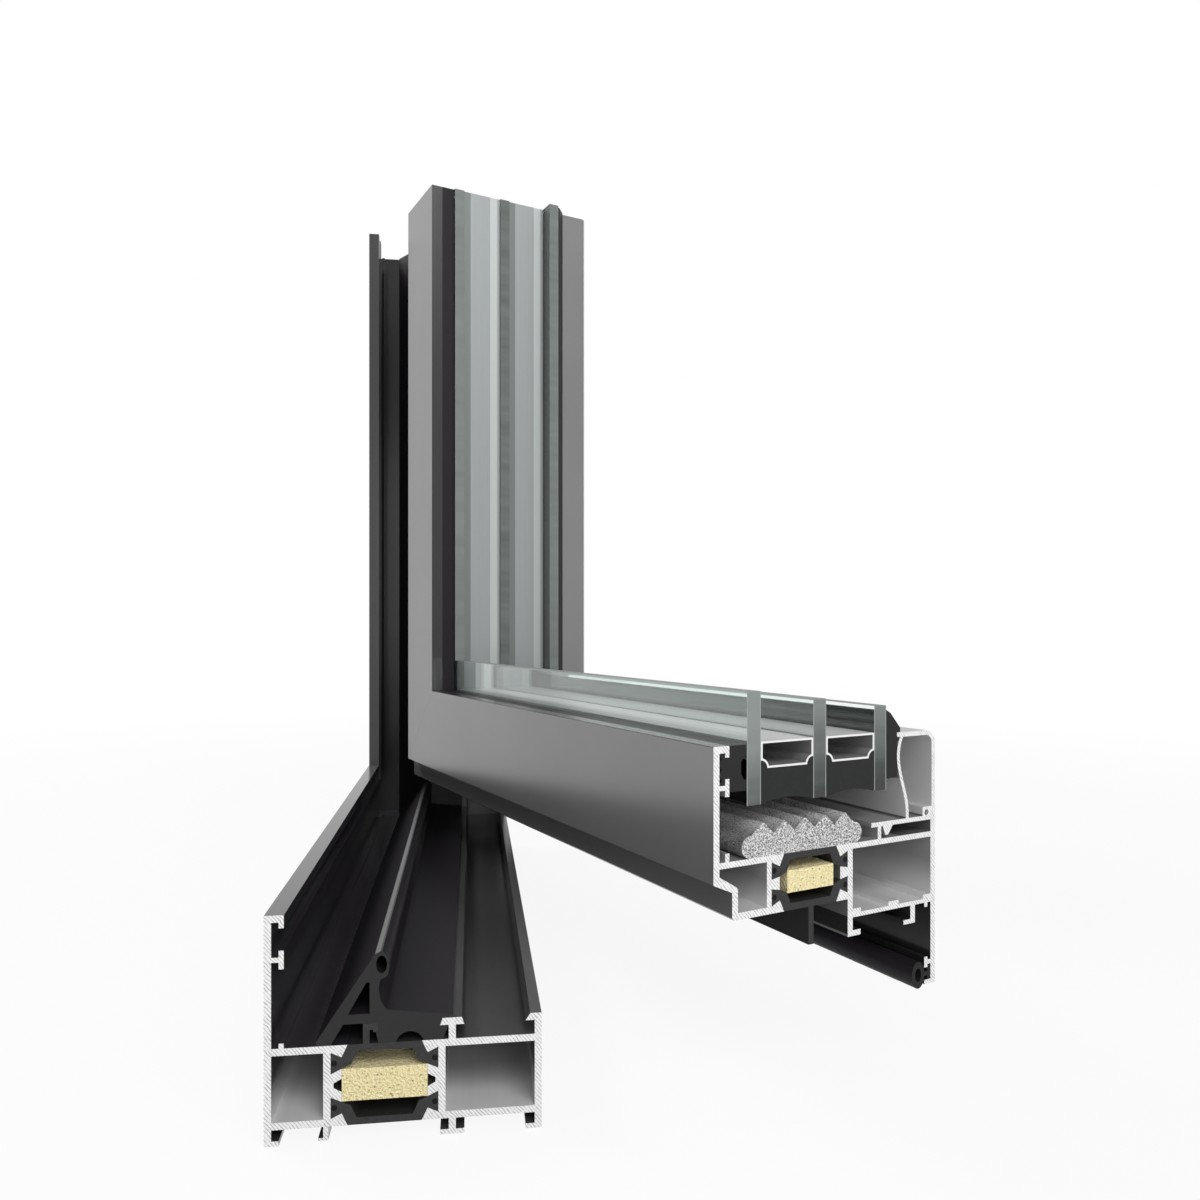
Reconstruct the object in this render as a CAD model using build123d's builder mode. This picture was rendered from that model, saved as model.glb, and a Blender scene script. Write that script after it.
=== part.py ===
"""Corner sample of a side-hung aluminium window that opens inwards, cut to show how it is made.

A fixed frame corner (sill and jamb) carries the corner of a triple-glazed sash, which stands open.
X runs along the sill away from the jamb, Y from outside to inside and Z up. The origin is on the
underside of the sill's inner foot, half way along it. A section is drawn as depth against height:
the height is counted from the sill's underside, and on the upright lengths from the jamb's back.
"""

import os
from collections import namedtuple
from math import sqrt

from build123d import *

os.makedirs("parts", exist_ok=True)

# Sample
sill_length = 338.0
sample_height = 364.0
stile_drop = 2.4
rail_end = 347.0
opening_angle = 21.2

# Fits
fit = 0.05

# Frame section
wall = 2.0
lip = 1.4
frame_depth = 77.0
leg_height = 64.0
chamber_low = 4.5
chamber_high = 27.0
outer_back = 18.0
inner_width = 29.3
groove_depth = 5.4
leg_hook_drop = 3.6
cover_groove_height = 51.6
cover_groove_width = 5.2
drip_leg_front = 16.0
upstand_hook = 4.6
tee_inset = 2.9
tee_stem = 2.0
tee_width = 6.8
tee_rise = 4.0
tee_bevel = 0.7

# Teeth and insulating strips
tooth_reach = 3.0
corner_reach = 4.6
corner_drop = 3.4
root_share = 0.7
tooth_notch_depth = 2.2
tooth_notch_mouth = 3.7
tooth_notch_base = 1.3
strip_wall = 2.0
strip_knee = 2.5
hook_front = 26.8
hook_stem = 1.8
hook_reach = 4.2
hook_rise = 5.6
hook_tip = 0.7
frame_foam_height = 9.0
sash_foam_height = 6.5
sash_foam_gap = 2.8

# Centre gasket
gasket_seat = 3.4
gasket_toe = 1.1
gasket_toe_reach = 4.0
gasket_lip = 0.9
gasket_heel = 1.6
gasket_wall = 2.4
arch_start_share = 0.27
arch_width_share = 0.43
arch_height_share = 0.36
neck_low = 3.6
neck_high = 12.1
neck_front = 0.6
neck_bow = 0.3
bulb_low = 13.0
bulb_reach = 2.9
bulb_middle = 17.1
bulb_tip = 1.1
gasket_crown = 20.3
gasket_bore_width = 3.0
gasket_bore_height = 5.0
gasket_bore_middle = 16.4
hollow_low = 2.7
hollow_high = 11.5
hollow_width = 6.0

# Sash section
overlap = 10.0
sash_gap = 8.5
sash_face = 38.3
sash_wall = 1.7
sash_outer_back = 20.4
sash_inner_width = 37.4
step_depth = 6.4
step_fall = 2.9
step_drop = 10.8
sash_floor_rise = 5.9
gasket_groove_rise = 26.6
gasket_hook_width = 5.0
gasket_hook_drop = 3.2
foam_stop = 2.4
hardware_leg = 11.4
hardware_foot = 5.2
hardware_hook_width = 5.0
hardware_hook_inset = 9.0
inner_drop = 5.8
inner_floor = 1.3
floor_pads = ((2.0, 3.4), (16.9, 4.4), (32.0, 3.4))
overlap_drop = 42.6
overlap_lap = 3.1
overlap_groove = 7.0
overlap_hook = 2.8
overlap_hook_width = 3.4
bead_tee_inset = 25.0
bead_tee_width = 4.8
bead_tee_rise = 3.8
fin_gap = 3.2
fin_thickness = 1.9
fin_lap = 2.4

# Glazing
pane = 5.0
glass_front = 11.5
glass_rise = 20.9
glass_step = 3.1
glass_clear = 1.4
spacer_rise = 31.1
spacer_height = 7.7
spacer_notch = 2.3
spacer_wall = 0.6
seal_arch = 1.4
glazing_gasket_drop = 3.8
gasket_tooth = 0.9
gasket_teeth = 3
notch_depth = 2.0
notch_height = 7.0

# Glazing bead
bead_wall = 1.5
bead_web = 1.2
bead_width = 16.8
bead_round = 4.0
bead_hook = 4.2
bead_curl = 3.5
bead_curl_bore = 0.9
bead_clip = 2.8
bead_clip_toe = 1.0
bead_clip_heel = 2.2
web_bow = 0.1
web_bow_drop = 8.0
web_bend = 3.0
web_bend_rise = 7.2
web_foot = 3.8
bead_gasket_width = 4.7
bead_gasket_rise = 7.3
bead_gasket_drop = 14.0
bead_gasket_tip = 1.9
bead_gasket_bevel = 1.1

# Rebate foam
wave_count = 5
wave_height = 3.5
wave_round = 0.9
foam_thickness = 6.4
rebate_foam_front = 9.7
rebate_foam_gap = 6.75

# Overlap gasket
bulb_width = 5.4
bulb_height = 8.5

# Hinge
hinge_gap = 1.4
barrel_gap = 0.5
hinge_height = 80.0
hinge_middle = 190.0
barrel_radius = 6.5
pin_radius = 4.0
pin_head = 2.0
leaf = 3.0
frame_leaf_width = 12.0
sash_leaf_width = 28.0
knuckle_gap = 0.3

# Depths that follow
inner_front = frame_depth - inner_width
tee_front = inner_front + tee_inset
tee_middle = tee_front + tee_stem / 2
sash_depth = frame_depth + overlap
sash_inner_front = sash_depth - sash_inner_width
hardware_hook_back = sash_depth - hardware_hook_inset
bead_tee_front = sash_depth - bead_tee_inset
bead_front = sash_depth - bead_width
glass_back = bead_front - bead_gasket_width
cavity = (glass_back - glass_front - 3 * pane) / 2
fin_front = hook_front + hook_reach + fin_gap
rebate_foam_back = bead_tee_front - rebate_foam_gap

# Heights that follow
stile_height = sample_height - stile_drop
sash_low = leg_height + sash_gap
sash_top = sash_low + sash_face
sash_floor = sash_low + sash_floor_rise
sash_base = sash_low - step_drop
inner_base = sash_base - inner_drop
hardware_low = sash_base - hardware_leg
bead_seat = sash_floor + bead_tee_rise
glass_low = sash_low + glass_rise
spacer_low = sash_low + spacer_rise
overlap_low = sash_low - overlap_drop
upstand_height = overlap_low + overlap_lap
hook_top = chamber_high + hook_rise
fin_low = hook_top + gasket_crown - fin_lap
wedge_top = sash_top + bead_gasket_rise

# Hinge axis
hinge_x = overlap_low - barrel_radius - hinge_gap
hinge_y = frame_depth + barrel_radius + barrel_gap

# Places in the model
corner = Vector(-sill_length / 2, -tee_middle, 0)
hinge = Location(corner + Vector(hinge_x, hinge_y, 0))
swing = hinge * Location((0, 0, 0), (0, 0, opening_angle)) * hinge.inverse()
sill_start = Plane(corner, x_dir=(0, 1, 0), z_dir=(1, 0, 0))
jamb_top = Plane(corner + Vector(0, 0, sample_height), x_dir=(0, 1, 0), z_dir=(0, 0, -1))
stile_top = jamb_top.offset(stile_drop)
sill_mitre = Plane(corner, z_dir=(1, 0, -1))
jamb_mitre = Plane(corner, z_dir=(-1, 0, 1))

Zone = namedtuple("Zone", "front back low high tooth")
frame_zone = Zone(outer_back, inner_front, chamber_low, chamber_high, 4.6)
sash_zone = Zone(sash_outer_back, sash_inner_front, sash_base, sash_floor, 1.9)


def opened(plane):
    """The same plane on the sash once it has swung open about its hinge."""
    return Plane(swing * plane.location)


def save(piece, label):
    """Name a finished piece and write its file."""
    piece.part.label = label
    export_step(piece.part, f"parts/{label}.step")


def bar(front, back, low, high, mode=Mode.ADD):
    """A straight wall of a section."""
    with Locations(((front + back) / 2, (low + high) / 2)):
        Rectangle(back - front, high - low, mode=mode)


def slab(*points, mode=Mode.ADD):
    """A wall of a section with slanted sides."""
    Polygon(*points, align=None, mode=mode)


def teeth(face, side, zone):
    """The teeth on a wall that hold both insulating strips, side being +1 or -1 along the depth."""
    middle = (zone.low + zone.high) / 2
    for edge, turn in ((zone.high, 1), (zone.low, -1)):
        slab(
            (face, edge),
            (face + side * corner_reach, edge),
            (face + side * tooth_reach, edge - turn * corner_drop),
            (face, edge - turn * wall),
        )
    root = root_share * zone.tooth
    slab(
        (face, middle - root),
        (face + side * tooth_reach, middle - zone.tooth),
        (face + side * tooth_reach, middle + zone.tooth),
        (face, middle + root),
    )


def tooth_notch(face, side):
    """The groove that a middle tooth of the frame has towards the foam bar."""
    middle = (chamber_low + chamber_high) / 2
    mouth = face + side * tooth_reach
    base = mouth - side * tooth_notch_depth
    slab(
        (mouth, middle - tooth_notch_mouth / 2),
        (base, middle - tooth_notch_base / 2),
        (base, middle + tooth_notch_base / 2),
        (mouth, middle + tooth_notch_mouth / 2),
        mode=Mode.SUBTRACT,
    )


def strip(zone, turn):
    """An insulating strip between two walls, turn being +1 for the upper and -1 for the lower."""
    middle = (zone.low + zone.high) / 2
    edge = zone.high if turn > 0 else zone.low
    tip = edge - turn * (corner_drop + fit)
    foot = [
        (fit, middle + turn * (root_share * zone.tooth + fit)),
        (fit, edge - turn * (wall + fit)),
        (tooth_reach + fit, tip),
        (corner_reach + 2 * fit, edge),
    ]
    knee = [
        (corner_reach + strip_knee, edge - turn * strip_wall),
        (tooth_reach + strip_knee, tip - turn * strip_wall),
        (tooth_reach + fit, middle + turn * (zone.tooth + fit)),
    ]
    front = [(zone.front + depth, height) for depth, height in knee + foot]
    back = [(zone.back - depth, height) for depth, height in foot[::-1] + knee[::-1]]
    slab(*front, *back)


def frame_outer():
    """The frame profile outside the insulating strips."""
    with BuildSketch() as section:
        bar(0, wall, 0, leg_height)
        bar(0, outer_back, chamber_low, chamber_high)
        bar(wall, outer_back - wall, chamber_low + wall, chamber_high - wall, Mode.SUBTRACT)
        hook_front_face = groove_depth - lip
        bar(0, groove_depth, leg_height - wall, leg_height)
        bar(hook_front_face, groove_depth, leg_height - leg_hook_drop, leg_height)
        bar(0, groove_depth, cover_groove_height - lip / 2, cover_groove_height + lip / 2)
        cover_low = cover_groove_height - cover_groove_width / 2
        bar(hook_front_face, groove_depth, cover_low, cover_low + cover_groove_width)
        bar(hook_front_face, groove_depth, chamber_high - wall, chamber_high + lip)
        bar(0, hook_front_face, 0, lip)
        bar(drip_leg_front, drip_leg_front + lip, lip / 2, chamber_low + fit)
        bar(drip_leg_front - lip, drip_leg_front, lip / 2, lip)
        teeth(outer_back, 1, frame_zone)
        tooth_notch(outer_back, 1)
    return section.sketch


def frame_inner():
    """The frame profile inside the insulating strips, with its hardware groove and feet."""
    with BuildSketch() as section:
        tee_low = chamber_high + tee_rise
        bar(tee_front, tee_front + tee_stem, 0, tee_low)
        bar(inner_front, frame_depth, chamber_low, chamber_high)
        bar(
            inner_front + wall,
            frame_depth - wall,
            chamber_low + wall,
            chamber_high - wall,
            Mode.SUBTRACT,
        )
        bar(frame_depth - wall, frame_depth, 0, upstand_height)
        slab(
            (frame_depth - upstand_hook, upstand_height - wall),
            (frame_depth, upstand_height - wall),
            (frame_depth, upstand_height),
            (frame_depth - upstand_hook + lip, upstand_height),
        )
        bar(frame_depth - upstand_hook, frame_depth, 0, lip)
        bar(tee_middle - tee_width / 2, tee_middle + tee_width / 2, 0, lip)
        slab(
            (tee_middle - tee_width / 2, tee_low),
            (tee_middle + tee_width / 2, tee_low),
            (tee_middle + tee_width / 2 - tee_bevel, tee_low + wall),
            (tee_middle - tee_width / 2 + tee_bevel, tee_low + wall),
        )
        teeth(inner_front, -1, frame_zone)
        tooth_notch(inner_front, -1)
    return section.sketch


def frame_strip_upper():
    """The frame's upper strip, with the hook that the centre gasket is pushed over."""
    with BuildSketch() as section:
        strip(frame_zone, 1)
        bar(hook_front, hook_front + hook_stem, chamber_high - strip_wall / 2, hook_top)
        bar(hook_front, hook_front + hook_reach, hook_top - hook_stem, hook_top)
        tip_low = hook_top - hook_stem - hook_tip
        bar(hook_front + hook_reach - lip, hook_front + hook_reach, tip_low, hook_top)
    return section.sketch


def frame_strip_lower():
    """The frame's lower strip."""
    with BuildSketch() as section:
        strip(frame_zone, -1)
    return section.sketch


def frame_foam():
    """The foam bar between the frame's strips, held by the middle teeth."""
    with BuildSketch() as section:
        middle = (chamber_low + chamber_high) / 2
        bar(
            outer_back + tooth_reach + fit,
            inner_front - tooth_reach - fit,
            middle - frame_foam_height / 2,
            middle + frame_foam_height / 2,
        )
    return section.sketch


def centre_gasket():
    """The hollow seal that is pushed over the strip's hook and closes against the sash's fin."""
    floor = chamber_high + fit
    top = hook_top + fit
    back = hook_front + hook_reach + fit
    barb_low = top - hook_stem - hook_tip - 2 * fit
    head_front = tee_middle - tee_width / 2 - fit
    head_low = chamber_high + tee_rise - fit
    head_high = chamber_high + tee_rise + wall + fit
    toe = outer_back - gasket_toe_reach
    neck_back = back + neck_front
    foot_back = tee_front - gasket_heel
    arch_front = back + arch_start_share * (foot_back - back)
    arch_width = arch_width_share * (foot_back - back)
    with BuildSketch() as section:
        with BuildLine():
            tail = Polyline(
                (tee_front - fit, head_low),
                (head_front, head_low),
                (head_front + tee_bevel, head_high),
                (tee_middle, head_high),
                (tee_middle, head_high + gasket_lip),
                (back + gasket_wall, top + neck_low),
            )
            neck = ThreePointArc(
                tail @ 1,
                (neck_back - neck_bow, top + (neck_low + neck_high) / 2),
                (neck_back, top + neck_high),
            )
            collar = Line(neck @ 1, (back + gasket_wall, top + bulb_low))
            bulb = ThreePointArc(
                collar @ 1,
                (back + bulb_reach, top + bulb_middle),
                (back + bulb_tip, top + gasket_crown),
            )
            flank = Polyline(
                bulb @ 1,
                (back - gasket_lip, top + gasket_crown - gasket_lip),
                (toe, floor + gasket_toe),
                (toe, floor),
                (outer_back, floor),
                (outer_back + gasket_seat, top + fit),
                (back, top),
                (back, barb_low),
                (back - lip / 2, barb_low),
                (back, floor),
                (arch_front, floor),
            )
            arch = ThreePointArc(
                flank @ 1,
                (arch_front + arch_width / 2, floor + arch_height_share * arch_width),
                (arch_front + arch_width, floor),
            )
            Polyline(arch @ 1, (foot_back, floor), tail @ 0)
        make_face()
        hollow_back = back - gasket_wall
        slab(
            (hollow_back - hollow_width, top + hollow_low),
            (hollow_back, top + hollow_low),
            (hollow_back, top + hollow_high),
            (hollow_back - gasket_lip, top + hollow_high),
            mode=Mode.SUBTRACT,
        )
        with Locations((back + gasket_lip, top + gasket_bore_middle)):
            Ellipse(gasket_bore_width / 2, gasket_bore_height / 2, mode=Mode.SUBTRACT)
    return section.sketch


def sash_outer():
    """The sash profile outside the insulating strips, with the groove of the glazing gasket."""
    inner_step = step_depth + wall
    inner_back = sash_outer_back - sash_wall
    hook_face = groove_depth - lip
    groove = sash_low + gasket_groove_rise
    with BuildSketch() as section:
        slab(
            (0, sash_low),
            (lip / 2, sash_low - lip / 4),
            (step_depth, sash_low - step_fall),
            (step_depth, sash_base + lip / 2),
            (step_depth + lip / 2, sash_base),
            (sash_outer_back, sash_base),
            (sash_outer_back, sash_floor),
            (0, sash_floor),
        )
        slab(
            (wall, sash_low + wall),
            (inner_step - lip / 2, sash_low - lip),
            (inner_step, sash_low - 1.5 * lip),
            (inner_step, sash_base + wall),
            (inner_back, sash_base + wall),
            (inner_back, sash_floor - sash_wall),
            (wall, sash_floor - sash_wall),
            mode=Mode.SUBTRACT,
        )
        bar(0, wall, sash_floor - lip, sash_top)
        bar(0, groove_depth, sash_top - wall, sash_top)
        bar(hook_face, groove_depth, sash_top - gasket_hook_drop, sash_top)
        bar(0, groove_depth, groove - lip / 2, groove + lip / 2)
        bar(hook_face, groove_depth, groove - gasket_hook_width / 2, groove + gasket_hook_width / 2)
        bar(hook_face, groove_depth, sash_floor - lip, sash_floor + foam_stop)
        teeth(sash_outer_back, 1, sash_zone)
    return section.sketch


def sash_inner():
    """The sash profile inside the insulating strips, with its hardware groove and overlap leg."""
    face = sash_inner_front
    inner_face = sash_depth - wall
    hook_face = inner_face - overlap_hook
    groove_high = overlap_low + overlap_groove
    with BuildSketch() as section:
        bar(face, face + wall, hardware_low, sash_floor)
        bar(face, face + hardware_foot, hardware_low, hardware_low + sash_wall)
        bar(face, sash_depth, sash_floor - sash_wall, sash_floor)
        bar(face, sash_depth, inner_base, inner_base + inner_floor)
        for start, width in floor_pads:
            bar(face + start, face + start + width, inner_base, inner_base + 2 * inner_floor)
        bar(hook_face, hook_face + lip, inner_base - lip, inner_base + inner_floor)
        hook_stem_front = hardware_hook_back - wall
        bar(hook_stem_front, hardware_hook_back, hardware_low, inner_base + inner_floor)
        hook_front_face = hardware_hook_back - hardware_hook_width
        bar(hook_front_face, hardware_hook_back, hardware_low, hardware_low + lip)
        bar(inner_face, sash_depth, overlap_low, bead_seat + lip)
        bar(hook_face, sash_depth, overlap_low, overlap_low + lip)
        bar(hook_face, sash_depth, groove_high - lip / 2, groove_high + lip / 2)
        bar(
            hook_face,
            hook_face + lip,
            groove_high - overlap_hook_width / 2,
            groove_high + overlap_hook_width / 2,
        )
        head_back = bead_tee_front + 1.5 * lip
        bar(bead_tee_front, bead_tee_front + lip, sash_floor - sash_wall, bead_seat + lip)
        bar(head_back - bead_tee_width, head_back, bead_seat, bead_seat + lip)
        teeth(sash_inner_front, -1, sash_zone)
    return section.sketch


def sash_strip_upper():
    """The sash's upper strip."""
    with BuildSketch() as section:
        strip(sash_zone, 1)
    return section.sketch


def sash_strip_lower():
    """The sash's lower strip, with the fin that the centre gasket closes against."""
    with BuildSketch() as section:
        strip(sash_zone, -1)
        bar(fin_front, fin_front + fin_thickness, fin_low, sash_base + strip_wall / 2)
    return section.sketch


def sash_foam():
    """The foam bar wedged between the knees of the sash's strips."""
    with BuildSketch() as section:
        middle = (sash_base + sash_floor) / 2
        bar(
            sash_outer_back + tooth_reach + sash_foam_gap,
            sash_inner_front - tooth_reach - sash_foam_gap,
            middle - sash_foam_height / 2,
            middle + sash_foam_height / 2,
        )
    return section.sketch


def rebate_foam():
    """The wavy foam that lies in the glazing rebate under the glass."""
    radius = foam_thickness / 2
    trough = sash_floor + foam_thickness
    last = rebate_foam_back - radius
    wave_pitch = (last - rebate_foam_front) / (wave_count + 0.5)
    first = rebate_foam_front + wave_pitch
    points = [(rebate_foam_front + radius, trough)]
    for wave in range(wave_count):
        points.append((first + wave * wave_pitch, trough + wave_height))
        points.append((first + (wave + 0.5) * wave_pitch, trough))
    with BuildSketch() as section:
        with BuildLine():
            base = Line((rebate_foam_front + radius, sash_floor), (last, sash_floor))
            back = ThreePointArc(base @ 1, (last + radius, sash_floor + radius), (last, trough))
            top = Polyline(*points[::-1])
            ThreePointArc(top @ 1, (rebate_foam_front, sash_floor + radius), base @ 0)
        make_face()
        fillet(section.vertices().group_by(Axis.Y)[-1], wave_round)
    return section.sketch


def glazing_gasket():
    """The outer glazing gasket, its foot held behind the groove's two hooks."""
    groove = sash_low + gasket_groove_rise
    neck_low = groove + gasket_hook_width / 2 + fit
    neck_high = sash_top - gasket_hook_drop - fit
    foot_low = groove + lip / 2 + fit
    foot_high = sash_top - wall - fit
    body_low = neck_low - glazing_gasket_drop
    face = groove_depth + fit
    heel = wall + fit
    with BuildSketch() as section:
        bar(face, glass_front - fit, body_low, sash_top)
        bar(heel, face, neck_low, neck_high)
        bar(heel, groove_depth - lip - fit, foot_low, foot_high)
        pitch = (foot_high - foot_low) / gasket_teeth
        for tooth in range(gasket_teeth):
            middle = foot_low + (tooth + 0.5) * pitch
            slab(
                (heel, middle - gasket_tooth),
                (heel + gasket_tooth, middle),
                (heel, middle + gasket_tooth),
                mode=Mode.SUBTRACT,
            )
        middle = (body_low + sash_top) / 2
        slab(
            (glass_front, middle + notch_height / 2),
            (glass_front - notch_depth / 2, middle + notch_height / 2),
            (glass_front - notch_depth, middle + notch_height / 4),
            (glass_front - notch_depth, middle - notch_height / 4),
            (glass_front - notch_depth / 2, middle - notch_height / 2),
            (glass_front, middle - notch_height / 2),
            mode=Mode.SUBTRACT,
        )
    return section.sketch


def bead():
    """The hollow glazing bead, clipped between the tee and the sash's inner wall."""
    seat = bead_seat + lip + fit
    back = sash_depth - wall - fit
    clip = bead_tee_front + 1.5 * lip + fit
    curl_high = seat + 2 * lip
    crown = sash_depth - bead_round + bead_round / sqrt(2)
    crown_high = sash_top - bead_round + bead_round / sqrt(2)
    inner = bead_round - bead_wall
    inner_crown = sash_depth - bead_round + inner / sqrt(2)
    inner_crown_high = sash_top - bead_round + inner / sqrt(2)
    web_high = sash_top - lip
    web_low = bead_seat + lip
    web_line = [
        (bead_front + lip, web_high),
        (bead_front + web_bow, web_high - web_bow_drop),
        (bead_front + web_bend, web_low + web_bend_rise),
        (bead_front + web_foot, web_low),
    ]
    with BuildSketch() as section:
        with BuildLine():
            face = Line((sash_depth, seat), (sash_depth, sash_top - bead_round))
            shoulder = ThreePointArc(
                face @ 1, (crown, crown_high), (sash_depth - bead_round, sash_top)
            )
            rim = Polyline(
                shoulder @ 1,
                (bead_front, sash_top),
                (bead_front, web_high),
                (bead_front + lip, web_high),
            )
            web = Spline(*web_line)
            Polyline(
                web @ 1,
                (clip, web_low),
                (clip, bead_seat),
                (clip + bead_clip_toe, bead_seat - bead_clip),
                (clip + bead_clip_heel, bead_seat - bead_clip),
                (clip + bead_hook, bead_seat),
                (back, bead_seat),
                (back, seat),
                face @ 0,
            )
        make_face()
        with BuildLine():
            inner_face = Line(
                (sash_depth - bead_wall, curl_high), (sash_depth - bead_wall, sash_top - bead_round)
            )
            turn = ThreePointArc(
                inner_face @ 1,
                (inner_crown, inner_crown_high),
                (sash_depth - bead_round, sash_top - bead_wall),
            )
            inner_web = Spline(
                *[(depth + bead_web, min(height, sash_top - bead_wall)) for depth, height in web_line]
            )
            Line(turn @ 1, inner_web @ 0)
            Polyline(
                inner_web @ 1,
                (back - bead_curl, web_low),
                (back - bead_curl, curl_high),
                inner_face @ 0,
            )
        make_face(mode=Mode.SUBTRACT)
        with Locations((back - bead_curl / 2, (bead_seat + curl_high) / 2 + lip / 4)):
            Circle(bead_curl_bore, mode=Mode.SUBTRACT)
    return section.sketch


def bead_gasket():
    """The wedge gasket pressed between the inner pane and the bead."""
    face = glass_back + fit
    with BuildSketch() as section:
        slab(
            (face, sash_top - bead_gasket_drop),
            (face, wedge_top),
            (face + bead_gasket_tip, wedge_top - bead_gasket_bevel),
            (bead_front + lip, sash_top + lip),
            (bead_front + lip, sash_top + fit),
            (bead_front - fit, sash_top + fit),
            (bead_front - fit, sash_top - bead_gasket_drop),
        )
    return section.sketch


def overlap_gasket():
    """The bulb gasket in the overlap leg, which closes against the frame's inner face."""
    back = sash_depth - wall - fit
    groove_low = overlap_low + lip + fit
    groove_high = overlap_low + overlap_groove - lip / 2 - fit
    middle = (groove_low + overlap_low + overlap_groove - overlap_hook_width / 2) / 2
    bulb = back - overlap_hook - bulb_width / 2
    with BuildSketch() as section:
        with Locations((bulb, middle)):
            Ellipse(bulb_width / 2, bulb_height / 2)
            Ellipse(bulb_width / 4, bulb_height / 4, mode=Mode.SUBTRACT)
        bar(back - overlap_hook - lip / 2, back, middle - lip / 2, middle + lip / 2)
        bar(back - lip + fit, back, groove_low, groove_high)
    return section.sketch


def spacer_outline(front):
    """The outside of a spacer bar that fills a cavity from the given depth, lower corners hollow."""
    near = front + fit
    far = front + cavity - fit
    side_low = spacer_low + spacer_notch
    bend = spacer_notch / sqrt(2)
    with BuildSketch() as section:
        with BuildLine():
            sides = Polyline(
                (near, side_low),
                (near, spacer_low + spacer_height),
                (far, spacer_low + spacer_height),
                (far, side_low),
            )
            right = ThreePointArc(
                sides @ 1, (far - bend, spacer_low + bend), (far - spacer_notch, spacer_low)
            )
            base = Line(right @ 1, (near + spacer_notch, spacer_low))
            ThreePointArc(base @ 1, (near + bend, spacer_low + bend), sides @ 0)
        make_face()
    return section.sketch


def spacer(front):
    """A hollow spacer bar."""
    with BuildSketch() as section:
        add(spacer_outline(front))
        offset(amount=-spacer_wall, mode=Mode.SUBTRACT)
    return section.sketch


def edge_seal(front):
    """The sealant under a spacer bar, with a hollow underside."""
    near = front + fit
    far = front + cavity - fit
    with BuildSketch() as section:
        with BuildLine():
            sides = Polyline(
                (near, glass_low),
                (near, spacer_low + spacer_notch),
                (far, spacer_low + spacer_notch),
                (far, glass_low),
            )
            ThreePointArc(sides @ 1, ((near + far) / 2, glass_low + seal_arch), sides @ 0)
        make_face()
        add(spacer_outline(front), mode=Mode.SUBTRACT)
    return section.sketch


def mitred(section, start, length, mitre):
    """One straight length of a section, cut square at its far end and mitred at the corner."""
    with BuildPart() as piece:
        with BuildSketch(start):
            add(section)
        extrude(amount=length)
        split(bisect_by=mitre, keep=Keep.TOP)
    return piece


def rail(section):
    """A length of a section along the foot of the open sash."""
    return mitred(section, opened(sill_start), rail_end, opened(sill_mitre))


def stile(section):
    """A length of a section up the hinge side of the open sash."""
    return mitred(section, opened(stile_top), stile_height, opened(jamb_mitre))


def elbow(label, section):
    """A section carried round the sash's corner in one piece."""
    with BuildPart() as piece:
        add(rail(section).part)
        add(stile(section).part)
    save(piece, label)


def glass(label, front, rail_edge, stile_edge):
    """A pane of the corner that ends just clear of its gaskets, its edges being heights."""
    with BuildPart() as piece:
        square_on = Plane(corner + Vector(0, front, 0), x_dir=(1, 0, 0), z_dir=(0, -1, 0))
        with BuildSketch(opened(square_on)):
            Polygon(
                (glass_low, glass_low),
                (rail_end, glass_low),
                (rail_end, rail_edge),
                (stile_edge, rail_edge),
                (stile_edge, stile_height),
                (glass_low, stile_height),
                align=None,
            )
        extrude(amount=-pane)
    save(piece, label)


frame_sections = {
    "profile_outer": frame_outer,
    "profile_inner": frame_inner,
    "strip_upper": frame_strip_upper,
    "strip_lower": frame_strip_lower,
    "foam": frame_foam,
    "centre_gasket": centre_gasket,
}
sash_sections = {
    "profile_outer": sash_outer,
    "profile_inner": sash_inner,
    "strip_upper": sash_strip_upper,
    "strip_lower": sash_strip_lower,
    "foam": sash_foam,
    "rebate_foam": rebate_foam,
    "glazing_gasket": glazing_gasket,
    "bead": bead,
    "bead_gasket": bead_gasket,
    "overlap_gasket": overlap_gasket,
}

for name, section in frame_sections.items():
    save(mitred(section(), sill_start, sill_length, sill_mitre), f"sill_{name}")
    save(mitred(section(), jamb_top, sample_height, jamb_mitre), f"jamb_{name}")

for name, section in sash_sections.items():
    save(rail(section()), f"rail_{name}")
    save(stile(section()), f"stile_{name}")

for count, (name, gasket_top) in enumerate(
    (("outer", sash_top), ("middle", sash_top), ("inner", wedge_top))
):
    front = glass_front + count * (pane + cavity)
    rail_edge = wedge_top + glass_clear + (2 - count) * glass_step
    glass(f"pane_{name}", front, rail_edge, gasket_top + glass_clear)

for count, name in enumerate(("outer", "inner")):
    front = glass_front + pane + count * (pane + cavity)
    elbow(f"spacer_{name}", spacer(front))
    elbow(f"edge_seal_{name}", edge_seal(front))

# Hinge on the inner side, its axis beside the closed sash's overlap leg
hinge_low = hinge_middle - hinge_height / 2
knuckle = hinge_height / 3
frame_leaf_back = hinge_x - barrel_radius - leaf / 6
level = Plane(corner + Vector(0, 0, hinge_low))

with BuildPart() as frame_leaf:
    with BuildSketch(level):
        bar(frame_leaf_back - frame_leaf_width, frame_leaf_back, frame_depth, frame_depth + leaf)
    extrude(amount=hinge_height)
    for low in (0, 2 * knuckle):
        with BuildSketch(level.offset(low)):
            bar(frame_leaf_back - leaf, hinge_x, frame_depth, frame_depth + leaf)
            with Locations((hinge_x, hinge_y)):
                Circle(barrel_radius)
                Circle(pin_radius + fit, mode=Mode.SUBTRACT)
        extrude(amount=knuckle)
save(frame_leaf, "hinge_frame_leaf")

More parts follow.
